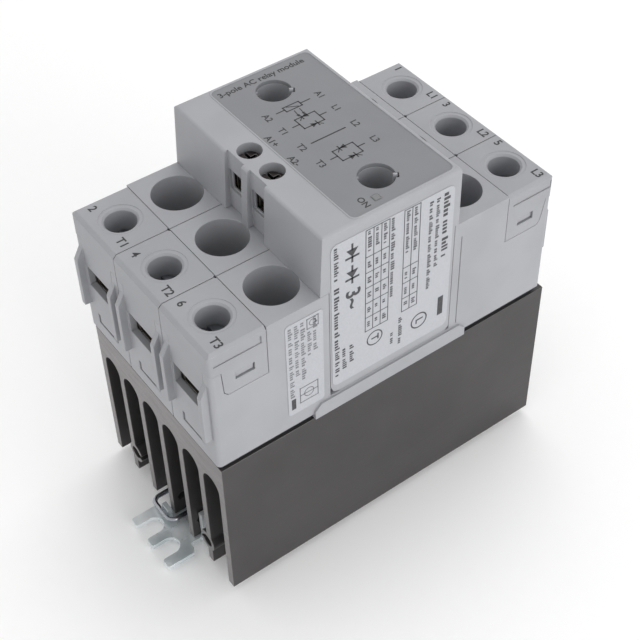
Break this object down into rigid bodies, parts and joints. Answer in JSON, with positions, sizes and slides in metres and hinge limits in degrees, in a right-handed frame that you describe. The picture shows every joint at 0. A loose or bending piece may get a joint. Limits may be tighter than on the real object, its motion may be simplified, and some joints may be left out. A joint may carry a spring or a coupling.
{
  "type": "solid state relay with heatsink",
  "caption": "Rail-mounted solid state relay on a finned heatsink, with screw clamp power terminals, push-fit terminal covers and a sprung rail latch.",
  "frame": {"origin": "on the rail seat at the tip of the middle fin, in the middle of the heatsink's width and length", "axes": "+Z away from the rail, -Y towards the load terminals, +X towards the side that carries the rating label"},
  "size_m": [0.0552, 0.101, 0.0977],
  "materials": {
    "sink": "extruded, dull brown-grey passivation",
    "housing_plastic": "light grey glass-filled moulding, fine spark-eroded texture",
    "fascia_plastic": "mid grey printed plate",
    "label": "silver-white polyester film",
    "black_plastic": "black moulding",
    "zinc_steel": "bright zinc plate",
    "spring_steel": "drawn wire",
    "nickel_brass": "nickel-flashed copper alloy",
    "copper": "bare copper",
    "ceramic": "alumina",
    "silicon": "polished",
    "pad": "filled silicone",
    "pcb": "solder mask on glass epoxy",
    "component": "moulded epoxy",
    "varistor": "dipped epoxy",
    "lens": "clear moulded light pipe"
  },
  "bodies": {
    "root": {"centre_cover": "housing_plastic", "ceramic_substrate_1": "ceramic", "ceramic_substrate_3": "ceramic", "connection_label": "label", "control_cage_a1": "nickel_brass", "control_cage_a2": "nickel_brass", "control_pcb": "pcb", "fascia_plate": "fascia_plastic", "gate_pins": "nickel_brass", "heatsink": "sink", "housing": "housing_plastic", "housing_screws": "zinc_steel", "light_pipe": "lens", "link_busbar_2": "copper", "link_insulator": "black_plastic", "module_case_1": "black_plastic", "module_case_3": "black_plastic", "module_frame": "black_plastic", "optocouplers": "component", "rating_label": "label", "snubber_capacitors": "component", "status_led": "lens", "terminal_cage_l1": "nickel_brass", "terminal_cage_l2": "nickel_brass", "terminal_cage_l3": "nickel_brass", "terminal_cage_t1": "nickel_brass", "terminal_cage_t2": "nickel_brass", "terminal_cage_t3": "nickel_brass", "terminal_cap_l1": "housing_plastic", "terminal_cap_l2": "housing_plastic", "terminal_cap_l3": "housing_plastic", "terminal_cap_t1": "housing_plastic", "terminal_cap_t2": "housing_plastic", "terminal_cap_t3": "housing_plastic", "thermal_pad_1": "pad", "thermal_pad_3": "pad", "thyristors_1": "silicon", "thyristors_3": "silicon", "varistors": "varistor"},
    "clamp_t1": {"clamp_plate_t1": "zinc_steel"},
    "screw_t1": {"power_screw_t1": "zinc_steel"},
    "clamp_t2": {"clamp_plate_t2": "zinc_steel"},
    "screw_t2": {"power_screw_t2": "zinc_steel"},
    "clamp_t3": {"clamp_plate_t3": "zinc_steel"},
    "screw_t3": {"power_screw_t3": "zinc_steel"},
    "clamp_l1": {"clamp_plate_l1": "zinc_steel"},
    "screw_l1": {"power_screw_l1": "zinc_steel"},
    "clamp_l2": {"clamp_plate_l2": "zinc_steel"},
    "screw_l2": {"power_screw_l2": "zinc_steel"},
    "clamp_l3": {"clamp_plate_l3": "zinc_steel"},
    "screw_l3": {"power_screw_l3": "zinc_steel"},
    "clamp_a1": {"control_clamp_a1": "zinc_steel"},
    "screw_a1": {"control_screw_a1": "zinc_steel"},
    "clamp_a2": {"control_clamp_a2": "zinc_steel"},
    "screw_a2": {"control_screw_a2": "zinc_steel"},
    "latch": {"rail_latch": "zinc_steel", "latch_pins": "zinc_steel", "latch_spring": "spring_steel"}
  },
  "joints": [
    {"name": "clamp_t1_descend", "type": "slide", "parent": "root", "child": "clamp_t1", "axis": [0, 0, -1], "range_m": [0, 0.0034]},
    {"name": "screw_t1_turn", "type": "hinge", "parent": "clamp_t1", "child": "screw_t1", "pos_m": [-0.018, -0.0393, 0.0724], "axis": [0, 0, -1], "range_deg": [0, 1530]},
    {"name": "clamp_t2_descend", "type": "slide", "parent": "root", "child": "clamp_t2", "axis": [0, 0, -1], "range_m": [0, 0.0034]},
    {"name": "screw_t2_turn", "type": "hinge", "parent": "clamp_t2", "child": "screw_t2", "pos_m": [0, -0.0393, 0.0724], "axis": [0, 0, -1], "range_deg": [0, 1530]},
    {"name": "clamp_t3_descend", "type": "slide", "parent": "root", "child": "clamp_t3", "axis": [0, 0, -1], "range_m": [0, 0.0034]},
    {"name": "screw_t3_turn", "type": "hinge", "parent": "clamp_t3", "child": "screw_t3", "pos_m": [0.018, -0.0393, 0.0724], "axis": [0, 0, -1], "range_deg": [0, 1530]},
    {"name": "clamp_l1_descend", "type": "slide", "parent": "root", "child": "clamp_l1", "axis": [0, 0, -1], "range_m": [0, 0.0034]},
    {"name": "screw_l1_turn", "type": "hinge", "parent": "clamp_l1", "child": "screw_l1", "pos_m": [-0.018, 0.0377, 0.0724], "axis": [0, 0, -1], "range_deg": [0, 1530]},
    {"name": "clamp_l2_descend", "type": "slide", "parent": "root", "child": "clamp_l2", "axis": [0, 0, -1], "range_m": [0, 0.0034]},
    {"name": "screw_l2_turn", "type": "hinge", "parent": "clamp_l2", "child": "screw_l2", "pos_m": [0, 0.0377, 0.0724], "axis": [0, 0, -1], "range_deg": [0, 1530]},
    {"name": "clamp_l3_descend", "type": "slide", "parent": "root", "child": "clamp_l3", "axis": [0, 0, -1], "range_m": [0, 0.0034]},
    {"name": "screw_l3_turn", "type": "hinge", "parent": "clamp_l3", "child": "screw_l3", "pos_m": [0.018, 0.0377, 0.0724], "axis": [0, 0, -1], "range_deg": [0, 1530]},
    {"name": "clamp_a1_descend", "type": "slide", "parent": "root", "child": "clamp_a1", "axis": [0, 0, -1], "range_m": [0, 0.002]},
    {"name": "screw_a1_turn", "type": "hinge", "parent": "clamp_a1", "child": "screw_a1", "pos_m": [-0.00415, -0.01435, 0.0918], "axis": [0, 0, -1], "range_deg": [0, 1440]},
    {"name": "clamp_a2_descend", "type": "slide", "parent": "root", "child": "clamp_a2", "axis": [0, 0, -1], "range_m": [0, 0.002]},
    {"name": "screw_a2_turn", "type": "hinge", "parent": "clamp_a2", "child": "screw_a2", "pos_m": [0.00415, -0.01435, 0.0918], "axis": [0, 0, -1], "range_deg": [0, 1440]},
    {"name": "latch_slide", "type": "slide", "parent": "root", "child": "latch", "axis": [0, -1, 0], "range_m": [0, 0.003], "stiffness_N_per_m": 1500, "springref_m": -0.002}
  ],
  "couplings": [
    {"joint": "screw_t1_turn", "follows": "clamp_t1_descend", "rad_per_m": 7854},
    {"joint": "screw_t2_turn", "follows": "clamp_t2_descend", "rad_per_m": 7854},
    {"joint": "screw_t3_turn", "follows": "clamp_t3_descend", "rad_per_m": 7854},
    {"joint": "screw_l1_turn", "follows": "clamp_l1_descend", "rad_per_m": 7854},
    {"joint": "screw_l2_turn", "follows": "clamp_l2_descend", "rad_per_m": 7854},
    {"joint": "screw_l3_turn", "follows": "clamp_l3_descend", "rad_per_m": 7854},
    {"joint": "screw_a1_turn", "follows": "clamp_a1_descend", "rad_per_m": 12566},
    {"joint": "screw_a2_turn", "follows": "clamp_a2_descend", "rad_per_m": 12566}
  ]
}
